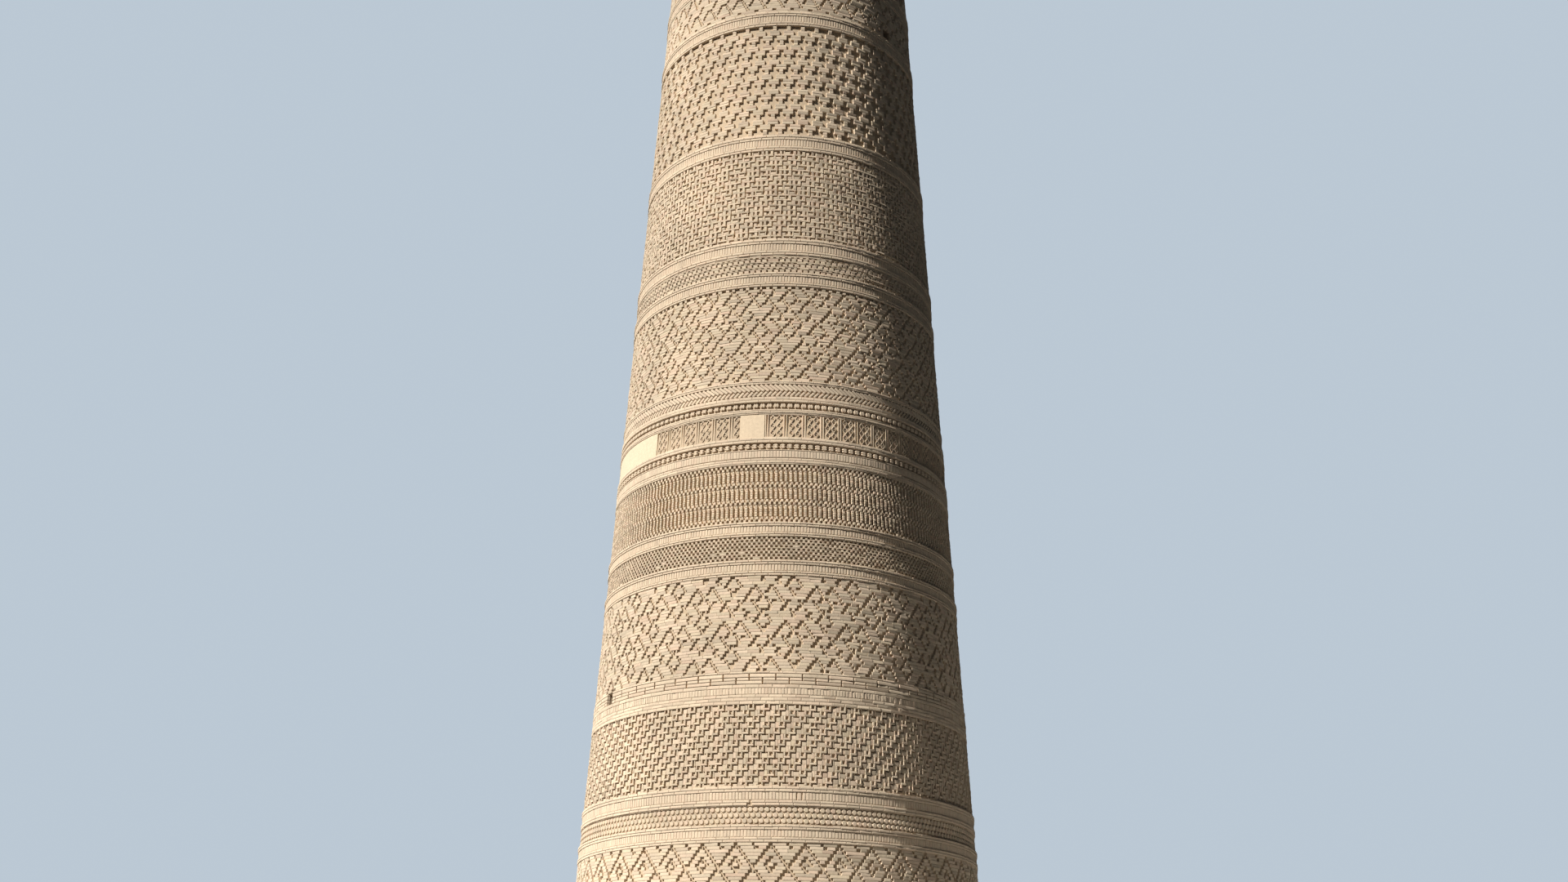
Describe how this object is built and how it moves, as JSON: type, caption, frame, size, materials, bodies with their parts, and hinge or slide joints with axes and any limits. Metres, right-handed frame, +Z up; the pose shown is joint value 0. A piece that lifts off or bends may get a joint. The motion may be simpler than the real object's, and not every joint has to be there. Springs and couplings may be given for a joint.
{
  "type": "brick minaret, 1:2 scale model",
  "caption": "Round tapering tower of patterned brick bands on a ten-sided plinth, hollow, with a rear doorway and an arcaded lantern under a stepped cornice.",
  "frame": {"origin": "on the tower's axis at ground level, under the middle of the plinth", "axes": "+Z up, -Y towards the front, +Y towards the doorway at the back"},
  "size_m": [4.95, 4.7078, 22.8],
  "materials": {
    "brick": "matt fired brick, sand coloured, with mortar joints",
    "course_brick": "matt fired brick, pale sand, rubbed face",
    "plaster": "smooth matt plaster, cream",
    "render": "matt brick and mud render, sand coloured"
  },
  "bodies": {
    "root": {"plinth": "render", "base_drum": "brick", "string_course_1": "course_brick", "lozenge_band": "brick", "string_course_2": "course_brick", "scale_band": "brick", "string_course_3": "course_brick", "hooked_band": "brick", "key_course": "course_brick", "stepped_band": "brick", "string_course_4": "course_brick", "dotted_band_lower": "brick", "string_course_5": "course_brick", "reeded_band": "brick", "bead_course": "course_brick", "strapwork_frieze": "brick", "herringbone_course": "course_brick", "interlace_band": "brick", "string_course_6": "course_brick", "dotted_band_upper": "brick", "string_course_7": "course_brick", "maze_band": "brick", "string_course_8": "course_brick", "knotted_band": "brick", "string_course_9": "course_brick", "diagonal_band": "brick", "string_course_10": "course_brick", "medallion_band": "brick", "string_course_11": "course_brick", "upper_frieze": "brick", "plaster_patch_small": "plaster", "plaster_patch_large": "plaster", "lower_cornice": "course_brick", "gallery_floor": "course_brick", "lantern_parapet": "brick", "lantern_pier_01": "brick", "lantern_pier_02": "brick", "lantern_pier_03": "brick", "lantern_pier_04": "brick", "lantern_pier_05": "brick", "lantern_pier_06": "brick", "lantern_pier_07": "brick", "lantern_pier_08": "brick", "lantern_pier_09": "brick", "lantern_pier_10": "brick", "lantern_pier_11": "brick", "lantern_pier_12": "brick", "lantern_pier_13": "brick", "lantern_pier_14": "brick", "lantern_pier_15": "brick", "lantern_pier_16": "brick", "lantern_arches": "brick", "upper_cornice": "course_brick", "cornice_rim": "course_brick", "roof_cone": "render", "roof_tip": "render"}
  },
  "joints": []
}
